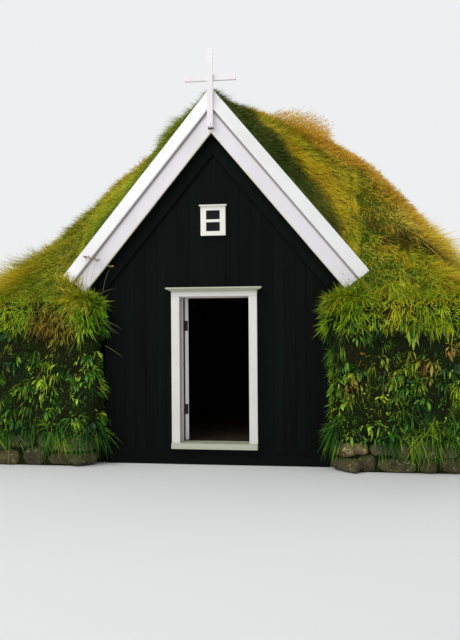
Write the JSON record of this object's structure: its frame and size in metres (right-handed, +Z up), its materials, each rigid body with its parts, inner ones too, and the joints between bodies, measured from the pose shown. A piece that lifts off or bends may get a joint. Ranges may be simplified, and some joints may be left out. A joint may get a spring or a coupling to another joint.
{
  "type": "turf-roofed timber chapel",
  "caption": "Small turf house: a tarred timber front with white bargeboards, cross, window and hinged door, between thick turf walls under a grown turf roof.",
  "frame": {"origin": "middle of the house's foot on the ground", "axes": "+X to the right seen from the front, the front faces -Y, +Z up"},
  "size_m": [6.2, 5.1386, 4.56],
  "materials": {
    "footing_stone": "rough field stones bedded dry",
    "wall_turf": "courses of cut turf, overgrown with grass",
    "roof_turf": "growing grass sod",
    "bare_timber": "old unpainted softwood",
    "tarred_boards": "tarred upright boards",
    "white_paint": "weathered white paint on wood",
    "wrought_iron": "old black iron",
    "window_pane": "plain window glass"
  },
  "bodies": {
    "house": {"stone_footing": "footing_stone", "turf_wall_left": "wall_turf", "turf_wall_right": "wall_turf", "turf_wall_rear": "wall_turf", "eaves_turf_left": "roof_turf", "eaves_turf_right": "roof_turf", "turf_roof_left": "roof_turf", "turf_roof_right": "roof_turf", "sill_beams": "bare_timber", "wall_posts": "bare_timber", "wall_plate_left": "bare_timber", "wall_plate_right": "bare_timber", "gable_rails": "bare_timber", "rafters": "bare_timber", "collar_ties": "bare_timber", "roof_boards_left": "bare_timber", "roof_boards_right": "bare_timber", "lining_left": "bare_timber", "lining_right": "bare_timber", "floor_joists": "bare_timber", "floor_boards": "bare_timber", "front_wall_left": "tarred_boards", "front_wall_right": "tarred_boards", "front_gable_wall": "tarred_boards", "rear_gable_wall": "tarred_boards", "frieze_boards": "tarred_boards", "bargeboard_left": "white_paint", "bargeboard_right": "white_paint", "weather_board_left": "white_paint", "weather_board_right": "white_paint", "rear_bargeboards": "white_paint", "rear_weather_boards": "white_paint", "cross_post": "white_paint", "cross_arm": "white_paint", "door_casings": "white_paint", "door_crown": "white_paint", "door_jamb_left": "white_paint", "door_jamb_right": "white_paint", "door_head_jamb": "white_paint", "door_threshold": "white_paint", "jamb_hinges": "wrought_iron", "window_frame": "white_paint", "window_glass": "window_pane", "window_cap": "white_paint"},
    "door": {"door_leaf": "white_paint", "door_panels": "white_paint", "leaf_hinges": "wrought_iron", "door_latch": "wrought_iron"}
  },
  "joints": [
    {"name": "door_hinge", "type": "hinge", "parent": "house", "child": "door", "pos_m": [-0.3865, -2.06, 0], "axis": [0, 0, 1], "range_deg": [-112, 43]}
  ]
}
